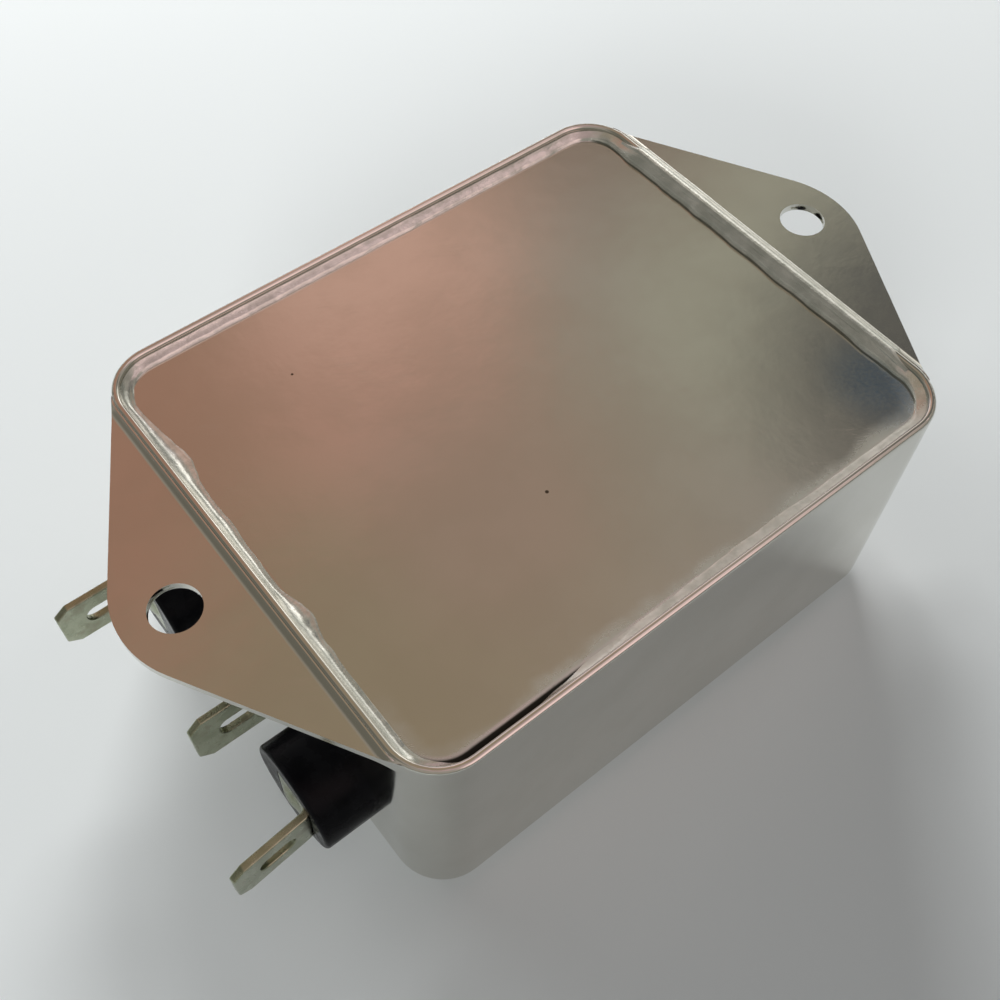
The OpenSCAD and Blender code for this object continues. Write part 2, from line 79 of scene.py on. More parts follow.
def nodeOf(tree, kind, **inputs):
    made = tree.nodes.new(kind)
    for name, value in inputs.items():
        made.inputs[name].default_value = value
    return made


# Feeds a socket from another socket or from a plain value
def feed(tree, socket, value):
    if isinstance(value, bpy.types.NodeSocket):
        tree.links.new(value, socket)
    elif isinstance(value, tuple) and len(value) == 3 and socket.type == "RGBA":
        socket.default_value = rgba(value)
    else:
        socket.default_value = value


def sums(tree, operation, first, second=0.0):
    made = tree.nodes.new("ShaderNodeMath")
    made.operation = operation
    feed(tree, made.inputs[0], first)
    feed(tree, made.inputs[1], second)
    return made.outputs[0]


def vectorSums(tree, operation, first, second):
    made = tree.nodes.new("ShaderNodeVectorMath")
    made.operation = operation
    feed(tree, made.inputs[0], first)
    feed(tree, made.inputs[1], second)
    return made.outputs["Value" if operation in ("DOT_PRODUCT", "DISTANCE") else "Vector"]


# A mask that goes smoothly from 0 at start to 1 at stop
def reachOf(tree, value, start, stop):
    reach = nodeOf(tree, "ShaderNodeMapRange", **{"From Min": start, "From Max": stop})
    reach.interpolation_type = "SMOOTHSTEP"
    tree.links.new(value, reach.inputs["Value"])
    return reach.outputs[0]


def rangeOf(tree, value, low, high):
    spread = nodeOf(tree, "ShaderNodeMapRange", **{"To Min": low, "To Max": high})
    tree.links.new(value, spread.inputs["Value"])
    return spread.outputs[0]


# Two colours mixed by a mask. Each may be a socket or a plain colour.
def blendColour(tree, first, second, mask):
    mix = tree.nodes.new("ShaderNodeMix")
    mix.data_type = "RGBA"
    feed(tree, mix.inputs["A"], first)
    feed(tree, mix.inputs["B"], second)
    feed(tree, mix.inputs["Factor"], mask)
    return mix.outputs["Result"]


# Place on the object, in mm
def inMillimetres(tree):
    where = tree.nodes.new("ShaderNodeTexCoord")
    scaled = tree.nodes.new("ShaderNodeVectorMath")
    scaled.operation = "SCALE"
    scaled.inputs["Scale"].default_value = 1 / mm
    tree.links.new(where.outputs["Object"], scaled.inputs[0])
    return scaled.outputs[0]


# The three parts of a vector
def splitOf(tree, vector):
    split = tree.nodes.new("ShaderNodeSeparateXYZ")
    tree.links.new(vector, split.inputs[0])
    return split.outputs


# A pale floor, soft lamps low on the +Y side for two windows, a weak one in front and one at the
# end, a dim grey fill, and for the polished faces a room to mirror. A patch of it is a direction,
# how wide it is and how wide its full strength is, both in degrees, and its colour. Heights in
# the room are the Z of a direction.
studioSettings = {
    "floorSize": 3.0,                     # m
    "floorColour": (0.815, 0.85, 0.85),
    "floorRoughness": 0.6,
    "floorFade": (150, 330),              # mm from the middle, where it turns into the backdrop
    "lampAim": (0, 0, 10),                # mm
    "lamps": [                            # name, place in mm, size in m, power in W
        ("leftWindow", (-200, 620, 220), (0.36, 0.20), 2.7),
        ("rightWindow", (320, 540, 200), (0.30, 0.20), 6.2),
        ("frontLight", (-420, -300, 250), (0.20, 0.20), 1.4),
        ("endLight", (560, 60, 150), (0.16, 0.16), 0.3),
    ],
    "fillLow": (0.06, 0.06, 0.06),
    "fillHigh": (0.05, 0.05, 0.05),
    "fillRise": (0, 0.3),                 # heights between which low turns to high
    "backdrop": (0.83, 0.86, 0.86),
    "roomLow": (0.17, 0.18, 0.15),
    "roomHigh": (0.43, 0.39, 0.35),
    "roomRise": (0.1, 0.3),
    "patches": [
        ((0.15, 0.94, 0.30), 13, 6, (1.15, 0.98, 1.02)),    # window, in three lights
        ((0.38, 0.87, 0.31), 13, 6, (1.15, 0.98, 1.02)),
        ((0.58, 0.75, 0.31), 13, 6, (1.10, 0.98, 1.00)),
        ((0.88, 0.38, 0.28), 17, 8, (1.15, 1.12, 1.05)),    # side window
        ((0.77, 0.52, 0.33), 10, 5, (2.30, 2.20, 2.10)),    # its bright pane
        ((-0.72, 0.35, 0.60), 34, 14, (0.19, 0.18, 0.15)),  # dark shelves
        ((0.15, -0.15, 0.98), 34, 12, (0.63, 0.46, 0.46)),  # ceiling
        ((0.25, -0.72, 0.62), 26, 12, (1.35, 1.00, 0.98)),  # lit ceiling
        ((0.47, -0.18, 0.86), 13, 7, (1.15, 0.86, 0.87)),   # edge of the lit ceiling
        ((0.10, 0.45, 0.89), 30, 4, (0.37, 0.30, 0.21)),    # ochre wall
        ((0.33, 0.56, 0.76), 10, 1, (0.62, 0.35, 0.28)),    # rose curtain
        ((0.38, 0.67, 0.63), 13, 5, (0.79, 0.50, 0.41)),    # its lit side
        ((0.64, 0.36, 0.68), 11, 7, (0.46, 0.45, 0.37)),    # sage wall
        ((0.01, 0.67, 0.74), 18, 9, (0.46, 0.26, 0.19)),    # brown wall
        ((0.35, 0.42, 0.84), 8, 1, (0.43, 0.31, 0.25)),
        ((0.67, 0.24, 0.70), 11, 3, (0.11, 0.11, 0.11)),    # dark doorway
        ((0.58, 0.58, 0.57), 10, 1, (0.29, 0.22, 0.18)),    # window frame
    ],
}


def makeFloor(s):
    bm = bmesh.new()
    bmesh.ops.create_grid(bm, x_segments=1, y_segments=1, size=s["floorSize"] / 2)
    mesh = bpy.data.meshes.new("floor")
    bm.to_mesh(mesh)
    bm.free()
    floor = bpy.data.objects.new("floor", mesh)
    scene.collection.objects.link(floor)
    material = bpy.data.materials.new("paleFloor")
    material.use_nodes = True
    tree = material.node_tree
    shader = tree.nodes["Principled BSDF"]
    shader.inputs["Base Color"].default_value = rgba(s["floorColour"])
    shader.inputs["Roughness"].default_value = s["floorRoughness"]
    backdrop = tree.nodes.new("ShaderNodeEmission")
    backdrop.inputs["Color"].default_value = rgba(s["backdrop"])
    away = reachOf(tree, vectorSums(tree, "DISTANCE", inMillimetres(tree), (0, 0, 0)), *s["floorFade"])
    path = tree.nodes.new("ShaderNodeLightPath")
    mixed = tree.nodes.new("ShaderNodeMixShader")
    tree.links.new(sums(tree, "MULTIPLY", away, path.outputs["Is Camera Ray"]), mixed.inputs["Fac"])
    tree.links.new(shader.outputs[0], mixed.inputs[1])
    tree.links.new(backdrop.outputs[0], mixed.inputs[2])
    tree.links.new(mixed.outputs[0], tree.nodes["Material Output"].inputs["Surface"])
    mesh.materials.append(material)


def makeWorld(s):
    world = bpy.data.worlds.new("room")
    scene.world = world
    world.use_nodes = True
    tree = world.node_tree
    tree.nodes.clear()
    where = tree.nodes.new("ShaderNodeTexCoord").outputs["Generated"]
    height = splitOf(tree, where)["Z"]
    fill = blendColour(tree, s["fillLow"], s["fillHigh"], reachOf(tree, height, *s["fillRise"]))
    room = blendColour(tree, s["roomLow"], s["roomHigh"], reachOf(tree, height, *s["roomRise"]))
    # One patch over another, so the later ones lie on top
    for direction, width, core, tint in s["patches"]:
        facing = vectorSums(tree, "DOT_PRODUCT", where, tuple(Vector(direction).normalized()))
        reach = reachOf(tree, facing, math.cos(math.radians(width)), math.cos(math.radians(core)))
        room = blendColour(tree, room, tint, reach)
    path = tree.nodes.new("ShaderNodeLightPath")
    colour = blendColour(tree, fill, room, path.outputs["Is Glossy Ray"])
    colour = blendColour(tree, colour, s["backdrop"], path.outputs["Is Camera Ray"])
    light = tree.nodes.new("ShaderNodeBackground")
    tree.links.new(colour, light.inputs["Color"])
    out = tree.nodes.new("ShaderNodeOutputWorld")
    tree.links.new(light.outputs[0], out.inputs["Surface"])


def makeLamp(name, source, aim, size, power):
    data = bpy.data.lights.new(name, "AREA")
    data.shape = "RECTANGLE"
    data.size, data.size_y = size
    data.energy = power
    lamp = bpy.data.objects.new(name, data)
    scene.collection.objects.link(lamp)
    start = Vector(source) * mm
    turn = (Vector(aim) * mm - start).to_track_quat("-Z", "Y").to_matrix().to_4x4()
    lamp.matrix_world = Matrix.Translation(start) @ turn
    lamp.visible_glossy = False


makeFloor(studioSettings)
makeWorld(studioSettings)
for name, place, size, power in studioSettings["lamps"]:
    makeLamp(name, place, studioSettings["lampAim"], size, power)
scene.view_settings.view_transform = "Standard"
print("studio ready")


# An effect's group. Each use of it sets all its inputs.
def newGroup(name, inputs, outputs):
    group = bpy.data.node_groups.new(name, "ShaderNodeTree")
    for label in inputs:
        group.interface.new_socket(name=label, in_out="INPUT", socket_type="NodeSocketFloat")
    for label in outputs:
        group.interface.new_socket(name=label, in_out="OUTPUT", socket_type="NodeSocketFloat")
    return group, group.nodes.new("NodeGroupInput"), group.nodes.new("NodeGroupOutput")


def noiseOf(tree, place, scale, detail, roughness):
    made = nodeOf(tree, "ShaderNodeTexNoise", Detail=detail, Roughness=roughness)
    tree.links.new(place, made.inputs["Vector"])
    feed(tree, made.inputs["Scale"], scale)
    return made.outputs["Fac"]


# Noise in the effects: (detail, roughness), and the range of it that becomes 0 to 1
effectSettings = {
    "cloud": (4.0, 0.55), "cloudRange": (0.34, 0.68),
    "grain": (2.0, 0.6), "grainRange": (0.3, 0.7),
    "line": (1.0, 0.5), "lineStretch": (0.03, 1.0, 1.0),
    "patch": (3.0, 0.6), "patchRange": (0.42, 0.62), "patchScale": 0.16,
}


# Soft clouds of a size in mm, with a fine grain over them
def makeMottle(s):
    group, given, out = newGroup("mottle", ["Size", "Grain Size"], ["Cloud", "Grain"])
    place = inMillimetres(group)
    cloud = noiseOf(group, place, sums(group, "DIVIDE", 1.0, given.outputs["Size"]), *s["cloud"])
    grain = noiseOf(group, place, sums(group, "DIVIDE", 1.0, given.outputs["Grain Size"]), *s["grain"])
    group.links.new(reachOf(group, cloud, *s["cloudRange"]), out.inputs["Cloud"])
    group.links.new(reachOf(group, grain, *s["grainRange"]), out.inputs["Grain"])
    return group


# Thin straight scratches: turn in radians, spacing in mm, and the share of the surface they take
def makeHairlines(s):
    group, given, out = newGroup("hairlines", ["Turn", "Spacing", "Share"], ["Lines"])
    turned = group.nodes.new("ShaderNodeVectorRotate")
    turned.rotation_type = "Z_AXIS"
    group.links.new(inMillimetres(group), turned.inputs["Vector"])
    group.links.new(given.outputs["Turn"], turned.inputs["Angle"])
    stretched = vectorSums(group, "MULTIPLY", turned.outputs[0], s["lineStretch"])
    field = noiseOf(group, stretched, sums(group, "DIVIDE", 1.0, given.outputs["Spacing"]), *s["line"])
    offMiddle = sums(group, "ABSOLUTE", sums(group, "SUBTRACT", field, 0.5))
    thin = sums(group, "SUBTRACT", 1.0, sums(group, "DIVIDE", offMiddle, given.outputs["Share"]))
    patches = noiseOf(group, inMillimetres(group), s["patchScale"], *s["patch"])
    patchy = reachOf(group, patches, *s["patchRange"])
    group.links.new(sums(group, "MULTIPLY", sums(group, "MAXIMUM", thin, 0.0), patchy), out.inputs["Lines"])
    return group


# Small scattered dots: pitch of the cells in mm, dot size and the share of cells that have one
def makeSpecks():
    group, given, out = newGroup("specks", ["Pitch", "Dot", "Share"], ["Dots"])
    cells = nodeOf(group, "ShaderNodeTexVoronoi")
    group.links.new(inMillimetres(group), cells.inputs["Vector"])
    feed(group, cells.inputs["Scale"], sums(group, "DIVIDE", 1.0, given.outputs["Pitch"]))
    split = group.nodes.new("ShaderNodeSeparateColor")
    group.links.new(cells.outputs["Color"], split.inputs[0])
    size = sums(group, "MULTIPLY", given.outputs["Dot"], split.outputs["Green"])
    dot = sums(group, "LESS_THAN", cells.outputs["Distance"], size)
    chosen = sums(group, "LESS_THAN", split.outputs["Red"], given.outputs["Share"])
    group.links.new(sums(group, "MULTIPLY", dot, chosen), out.inputs["Dots"])
    return group


effects = {
    "mottle": makeMottle(effectSettings),
    "hairlines": makeHairlines(effectSettings),
    "specks": makeSpecks(),
}


# An effect placed in a material, with that material's own values
def effectOf(tree, name, **values):
    made = tree.nodes.new("ShaderNodeGroup")
    made.node_tree = effects[name]
    for label, value in values.items():
        made.inputs[label.replace("_", " ")].default_value = value
    return made.outputs


def newMaterial(name, metallic=0.0, **constants):
    material = bpy.data.materials.new(name)
    material.use_nodes = True
    shader = material.node_tree.nodes["Principled BSDF"]
    shader.inputs["Metallic"].default_value = metallic
    for label, value in constants.items():
        shader.inputs[label.replace("_", " ")].default_value = value
    return material, material.node_tree, shader


# Bumps one height after another, each with its own depth in mm
def bumpOf(tree, shader, layers):
    normal = None
    for height, depth in layers:
        bump = nodeOf(tree, "ShaderNodeBump", Strength=1.0, Distance=depth * mm)
        tree.links.new(height, bump.inputs["Height"])
        if normal:
            tree.links.new(normal, bump.inputs["Normal"])
        normal = bump.outputs[0]
    tree.links.new(normal, shader.inputs["Normal"])


# Inner faces of the rim, which the solder follows, in mm
wallSettings = {"x": 30.5, "y": 25.2, "round": 4.5}


tinSettings = {
    "colour": (0.62, 0.61, 0.56),
    "dull": (0.57, 0.56, 0.505),
    # near black, painted as shade in the groove round the cover's edge
    "grooveShade": (0.035, 0.035, 0.028),
    "speck": (0.10, 0.09, 0.07),
    "roughness": (0.13, 0.165),
    "caseClouds": 7.0, "coverClouds": 9.0,                      # mm
    "grainSize": 0.22,                                          # mm
    "lines": {"Turn": 0.5, "Spacing": 0.35, "Share": 0.02},
    "dots": {"Pitch": 3.2, "Dot": 0.05, "Share": 0.12},
    "dullShare": 0.6, "speckShare": 0.7,
    "grainShine": 0.015, "lineShine": 0.06,                     # added roughness
    "wave": 0.010, "grain": 0.0006, "scratch": -0.0004,         # mm
}


def tinBase(tree, shader, s, size):
    clouds = effectOf(tree, "mottle", Size=size, Grain_Size=s["grainSize"])
    lines = effectOf(tree, "hairlines", **s["lines"])["Lines"]
    dots = effectOf(tree, "specks", **s["dots"])["Dots"]
    dull = sums(tree, "MULTIPLY", clouds["Cloud"], s["dullShare"])
    colour = blendColour(tree, s["colour"], s["dull"], dull)
    colour = blendColour(tree, colour, s["speck"], sums(tree, "MULTIPLY", dots, s["speckShare"]))
    shine = rangeOf(tree, clouds["Cloud"], *s["roughness"])
    shine = sums(tree, "ADD", shine, sums(tree, "MULTIPLY", clouds["Grain"], s["grainShine"]))
    shine = sums(tree, "ADD", shine, sums(tree, "MULTIPLY", lines, s["lineShine"]))
    bumpOf(tree, shader, [(clouds["Cloud"], s["wave"]), (clouds["Grain"], s["grain"]), (lines, s["scratch"])])
    return colour, shine


def makeTinnedSteel(s):
    material, tree, shader = newMaterial("tinnedSteel", metallic=1.0)
    colour, shine = tinBase(tree, shader, s, s["caseClouds"])
    feed(tree, shader.inputs["Base Color"], colour)
    feed(tree, shader.inputs["Roughness"], shine)
    return material


# Places and reaches in mm. A reach is where something starts and where it is full.
coverSettings = {
    "grooveReach": (28.69, 28.60),              # height at which the painted shade in the groove ends
    "grooveShine": 0.3,
    "film": (0.56, 0.60, 0.54),
    "filmReach": (2.4, 0.2),                    # from the rim
    "filmSide": (-15.0, -21.5),
    "filmShare": (0.7, 1.0),
    "filmStained": 0.35,                        # what is left of it in the stain
    "filmMetal": 0.66, "filmShine": 0.24,
    "wavy": {"Size": 8.0, "Grain_Size": 0.7},   # the film's edge
    "wander": 0.7, "ragged": 0.06,
    "grains": {"Size": 2.2, "Grain_Size": 0.35},
    "stain": (0.33, 0.44, 0.55),
    "stainAt": (28.5, -19.5, 28.7),
    "stainReach": (7.5, 1.0),
    "stainShare": (0.5, 0.9),
    "pits": [((-16.0, 15.5, 28.7), 0.16), ((-5.5, -9.6, 28.7), 0.22)],
    "pitCore": 0.6,
}


# Along the -Y side the solder spread over the cover as a thin film with a soft edge
def filmMask(tree, place, s):
    wavy = effectOf(tree, "mottle", **s["wavy"])
    split = splitOf(tree, place)
    past = []
    for axis, wall in (("X", wallSettings["x"]), ("Y", wallSettings["y"])):
        straight = wall - wallSettings["round"]
        beyond = sums(tree, "SUBTRACT", sums(tree, "ABSOLUTE", split[axis]), straight)
        beyond = sums(tree, "MAXIMUM", beyond, 0.0)
        past.append(sums(tree, "MULTIPLY", beyond, beyond))
    inset = sums(tree, "SUBTRACT", wallSettings["round"], sums(tree, "SQRT", sums(tree, "ADD", *past)))
    inset = sums(tree, "ADD", inset, rangeOf(tree, wavy["Cloud"], -s["wander"], s["wander"]))
    inset = sums(tree, "ADD", inset, rangeOf(tree, wavy["Grain"], -s["ragged"], s["ragged"]))
    near = reachOf(tree, split["Y"], *s["filmSide"])
    return sums(tree, "MULTIPLY", reachOf(tree, inset, *s["filmReach"]), near)


def makeCoverPlate(s, tin):
    material, tree, shader = newMaterial("coverPlate", metallic=1.0)
    colour, shine = tinBase(tree, shader, tin, tin["coverClouds"])
    place = inMillimetres(tree)
    grains = effectOf(tree, "mottle", **s["grains"])
    near = reachOf(tree, vectorSums(tree, "DISTANCE", place, s["stainAt"]), *s["stainReach"])
    stain = sums(tree, "MULTIPLY", near, rangeOf(tree, grains["Grain"], *s["stainShare"]))
    for pit, size in s["pits"]:
        dark = reachOf(tree, vectorSums(tree, "DISTANCE", place, pit), size, size * s["pitCore"])
        colour = blendColour(tree, colour, tin["speck"], dark)
    patchy = rangeOf(tree, grains["Grain"], *s["filmShare"])
    thin = sums(tree, "MULTIPLY", rangeOf(tree, near, 1.0, s["filmStained"]), patchy)
    film = sums(tree, "MULTIPLY", filmMask(tree, place, s), thin)
    colour = blendColour(tree, colour, s["film"], film)
    colour = blendColour(tree, colour, s["stain"], stain)
    feed(tree, shader.inputs["Metallic"], rangeOf(tree, film, 1.0, s["filmMetal"]))
    # Painted shade: the cover goes near black where its edge bends down into the groove
    grooveShade = reachOf(tree, splitOf(tree, place)["Z"], *s["grooveReach"])
    feed(tree, shader.inputs["Base Color"], blendColour(tree, colour, tin["grooveShade"], grooveShade))
    shine = sums(tree, "ADD", shine, sums(tree, "MULTIPLY", film, s["filmShine"]))
    shine = sums(tree, "ADD", shine, sums(tree, "MULTIPLY", grooveShade, s["grooveShine"]))
    feed(tree, shader.inputs["Roughness"], shine)
    return material


# Places and sizes in mm. A reach is where something starts and where it is full.
solderSettings = {
    "colour": (0.66, 0.66, 0.61),
    "oxide": (0.52, 0.53, 0.48),
    # flux specks, and also painted shade in the crease along the solder's foot
    "fluxAndCreaseShade": (0.15, 0.15, 0.12),
    "roughness": (0.16, 0.26),
    "clouds": {"Size": 1.6, "Grain_Size": 0.16},
    "lumps": {"Size": 0.6, "Grain_Size": 0.3},
    "dots": {"Pitch": 1.1, "Dot": 0.06, "Share": 0.1},
    "dotShare": 0.7, "creaseShadeShare": 0.9,
    "footReach": (28.92, 28.80),         # height, and place in X, of the painted shade in the crease along the solder's foot
    "footSide": (28.2, 29.0),
    "matteReach": (-23.6, -24.6),        # where the solder was overheated and set matte
    "matteShine": 0.22,
    "metal": (0.80, 0.62),               # bright, matte
    "lump": 0.006, "ripple": 0.002,
}


def makeSolderFinish(s):
    material, tree, shader = newMaterial("solder", metallic=1.0)
    clouds = effectOf(tree, "mottle", **s["clouds"])
    lumps = effectOf(tree, "mottle", **s["lumps"])
    dots = effectOf(tree, "specks", **s["dots"])["Dots"]
    split = splitOf(tree, inMillimetres(tree))
    matte = reachOf(tree, split["Y"], *s["matteReach"])
    colour = blendColour(tree, s["colour"], s["oxide"], clouds["Cloud"])
    colour = blendColour(tree, colour, s["fluxAndCreaseShade"], sums(tree, "MULTIPLY", dots, s["dotShare"]))
    # Painted shade: darker along the solder's foot on the +X side, in the crease by the cover
    foot = reachOf(tree, split["Z"], *s["footReach"])
    foot = sums(tree, "MULTIPLY", foot, reachOf(tree, split["X"], *s["footSide"]))
    colour = blendColour(tree, colour, s["fluxAndCreaseShade"], sums(tree, "MULTIPLY", foot, s["creaseShadeShare"]))
    feed(tree, shader.inputs["Base Color"], colour)
    feed(tree, shader.inputs["Metallic"], rangeOf(tree, matte, *s["metal"]))
    shine = rangeOf(tree, clouds["Grain"], *s["roughness"])
    shine = sums(tree, "ADD", shine, sums(tree, "MULTIPLY", matte, s["matteShine"]))
    feed(tree, shader.inputs["Roughness"], shine)
    bumpOf(tree, shader, [(lumps["Cloud"], s["lump"]), (lumps["Grain"], s["ripple"])])
    return material


insulatorSettings = {
    "colour": (0.0035, 0.0035, 0.0042),
    "worn": (0.006, 0.006, 0.007),
    "dust": (0.05, 0.05, 0.05),
    "roughness": (0.20, 0.34),
    "specular": 0.05,
    "clouds": {"Size": 2.5, "Grain_Size": 0.12},
    "lines": {"Turn": 1.2, "Spacing": 0.3, "Share": 0.02},
    "dots": {"Pitch": 0.8, "Dot": 0.05, "Share": 0.12},
    "dustShare": 0.5, "lineShine": 0.2,
    "grain": 0.002, "scratch": -0.002,      # mm
}


def makeBlackInsulator(s):
    material, tree, shader = newMaterial("blackInsulator", Specular_IOR_Level=s["specular"])
    clouds = effectOf(tree, "mottle", **s["clouds"])
    lines = effectOf(tree, "hairlines", **s["lines"])["Lines"]
    dots = effectOf(tree, "specks", **s["dots"])["Dots"]
    colour = blendColour(tree, s["colour"], s["worn"], clouds["Cloud"])
    colour = blendColour(tree, colour, s["dust"], sums(tree, "MULTIPLY", dots, s["dustShare"]))
    feed(tree, shader.inputs["Base Color"], colour)
    shine = rangeOf(tree, clouds["Cloud"], *s["roughness"])
    shine = sums(tree, "ADD", shine, sums(tree, "MULTIPLY", lines, s["lineShine"]))
    feed(tree, shader.inputs["Roughness"], shine)
    bumpOf(tree, shader, [(clouds["Grain"], s["grain"]), (lines, s["scratch"])])
    return material


tabSettings = {
    "colour": (0.40, 0.42, 0.31),
    "dull": (0.31, 0.33, 0.23),
    "tarnish": (0.20, 0.15, 0.10),
    "roughness": (0.26, 0.29),
    "clouds": {"Size": 1.8, "Grain_Size": 0.15},
    "blots": {"Size": 2.6, "Grain_Size": 0.4},
    "lines": {"Turn": 0.1, "Spacing": 0.2, "Share": 0.04},
    "brownReach": (0.6, 1.3), "brownShare": (0.35, 0.6), "brownShine": 0.15,
    "wave": 0.004, "scratch": -0.0008, "grain": 0.0004,      # mm
}


def makePlatedBrass(s):
    material, tree, shader = newMaterial("platedBrass", metallic=1.0)
    clouds = effectOf(tree, "mottle", **s["clouds"])
    blots = effectOf(tree, "mottle", **s["blots"])
    lines = effectOf(tree, "hairlines", **s["lines"])["Lines"]
    colour = blendColour(tree, s["colour"], s["dull"], clouds["Cloud"])
    brown = reachOf(tree, blots["Cloud"], *s["brownReach"])
    brown = sums(tree, "MULTIPLY", brown, rangeOf(tree, blots["Grain"], *s["brownShare"]))
    feed(tree, shader.inputs["Base Color"], blendColour(tree, colour, s["tarnish"], brown))
    shine = rangeOf(tree, clouds["Cloud"], *s["roughness"])
    shine = sums(tree, "ADD", shine, sums(tree, "MULTIPLY", brown, s["brownShine"]))
    feed(tree, shader.inputs["Roughness"], shine)
    bumpOf(tree, shader, [(clouds["Cloud"], s["wave"]), (lines, s["scratch"]), (clouds["Grain"], s["grain"])])
    return material


# Plainer finishes of the parts inside the case: two colours, the clouds' size in mm, roughness
# and the grain's depth in mm
innerSettings = {
    "fibre": ((0.55, 0.42, 0.28), (0.42, 0.31, 0.20), 1.5, 0.65, 0.01),
    "ferrite": ((0.13, 0.27, 0.18), (0.09, 0.20, 0.14), 2.5, 0.45, 0.006),
    "whitePlastic": ((0.80, 0.79, 0.75), (0.72, 0.70, 0.64), 3.0, 0.45, 0.002),
    "filmCase": ((0.80, 0.62, 0.16), (0.72, 0.54, 0.12), 4.0, 0.38, 0.003),
    "ceramicCoat": ((0.13, 0.31, 0.55), (0.09, 0.24, 0.45), 1.6, 0.28, 0.012),
    "resistorCoat": ((0.70, 0.55, 0.38), (0.60, 0.45, 0.30), 1.2, 0.5, 0.008),
}
innerGrain = 0.12        # of the clouds' size
innerSpread = 0.08       # of the roughness, up and down


def makeInner(name, first, second, size, roughness, depth):
    material, tree, shader = newMaterial(name)
    clouds = effectOf(tree, "mottle", Size=size, Grain_Size=size * innerGrain)
    feed(tree, shader.inputs["Base Color"], blendColour(tree, first, second, clouds["Cloud"]))
    shine = rangeOf(tree, clouds["Grain"], roughness - innerSpread, roughness + innerSpread)
    feed(tree, shader.inputs["Roughness"], shine)
    bumpOf(tree, shader, [(clouds["Grain"], depth)])
    return material


copperSettings = {
    "colour": (0.62, 0.24, 0.09),
    "dull": (0.50, 0.17, 0.06),
    "clouds": {"Size": 3.0, "Grain_Size": 0.4},
    "roughness": (0.2, 0.32),
    "enamel": (0.6, 0.9), "enamelRoughness": 0.08,
    "grain": 0.004,          # mm
}


def makeEnamelledCopper(s):
    material, tree, shader = newMaterial("enamelledCopper", metallic=1.0, Coat_Roughness=s["enamelRoughness"])
    clouds = effectOf(tree, "mottle", **s["clouds"])
    feed(tree, shader.inputs["Base Color"], blendColour(tree, s["colour"], s["dull"], clouds["Cloud"]))
    feed(tree, shader.inputs["Roughness"], rangeOf(tree, clouds["Grain"], *s["roughness"]))
    feed(tree, shader.inputs["Coat Weight"], rangeOf(tree, clouds["Cloud"], *s["enamel"]))
    bumpOf(tree, shader, [(clouds["Grain"], s["grain"])])
    return material


finishes = {
    "tinnedSteel": makeTinnedSteel(tinSettings),
    "coverPlate": makeCoverPlate(coverSettings, tinSettings),
    "solder": makeSolderFinish(solderSettings),
    "blackInsulator": makeBlackInsulator(insulatorSettings),
    "platedBrass": makePlatedBrass(tabSettings),
    "enamelledCopper": makeEnamelledCopper(copperSettings),
}
for name, values in innerSettings.items():
    finishes[name] = makeInner(name, *values)

# The first word that a node's name holds gives its finish
nodeFinishes = [
    ("insulator", "blackInsulator"), ("film_capacitor", "filmCase"), ("disc_capacitor", "ceramicCoat"),
    ("bleed_resistor", "resistorCoat"), ("winding", "enamelledCopper"), ("choke_core", "ferrite"),
    ("choke_divider", "whitePlastic"), ("lead", "whitePlastic"), ("insulating_sheet", "fibre"),
    ("inner_washers", "fibre"), ("lugs", "platedBrass"), ("tab", "platedBrass"), ("rivet", "platedBrass"),
    ("tin_seam", "solder"), ("cover", "coverPlate"), ("can", "tinnedSteel"),
]
for name, obj in nodes.items():
    finish = next(finish for word, finish in nodeFinishes if word in name)
    obj.data.materials.clear()
    obj.data.materials.append(finishes[finish])
print("finishes set")


# A finished mesh becomes a piece that rides on the only body
def addPiece(bm, name, finish, sharpAngle=40):
    mesh = bpy.data.meshes.new(name)
    bm.to_mesh(mesh)
    bm.free()
    mesh.shade_smooth()
    mesh.set_sharp_from_angle(angle=math.radians(sharpAngle))
    mesh.materials.append(finishes[finish])
    piece = bpy.data.objects.new(name, mesh)
    scene.collection.objects.link(piece)
    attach(piece, "root")
    return piece


def smoothStep(share):
    share = min(max(share, 0.0), 1.0)
    return share * share * (3 - 2 * share)


# Smooth steps through pairs of a place and a value
def alongKnots(knots, place):
    for (start, low), (stop, high) in zip(knots, knots[1:]):
        if place <= stop:
            return low + (high - low) * smoothStep((place - start) / (stop - start))
    return knots[-1][1]


# Where a point lies by the rim: how far in from its inner face, and the way out to it
def rimPlace(x, y, s):
    past = Vector((abs(x) - s["x"] + s["round"], abs(y) - s["y"] + s["round"]))
    if past.x > 0 and past.y > 0:
        inset = s["round"] - past.length
        out = past.normalized()
    elif past.x > 0:
        inset = s["x"] - abs(x)
        out = Vector((1, 0))
    else:
        inset = s["y"] - abs(y)
        out = Vector((0, 1))
    return inset, Vector((math.copysign(out.x, x), math.copysign(out.y, y)))


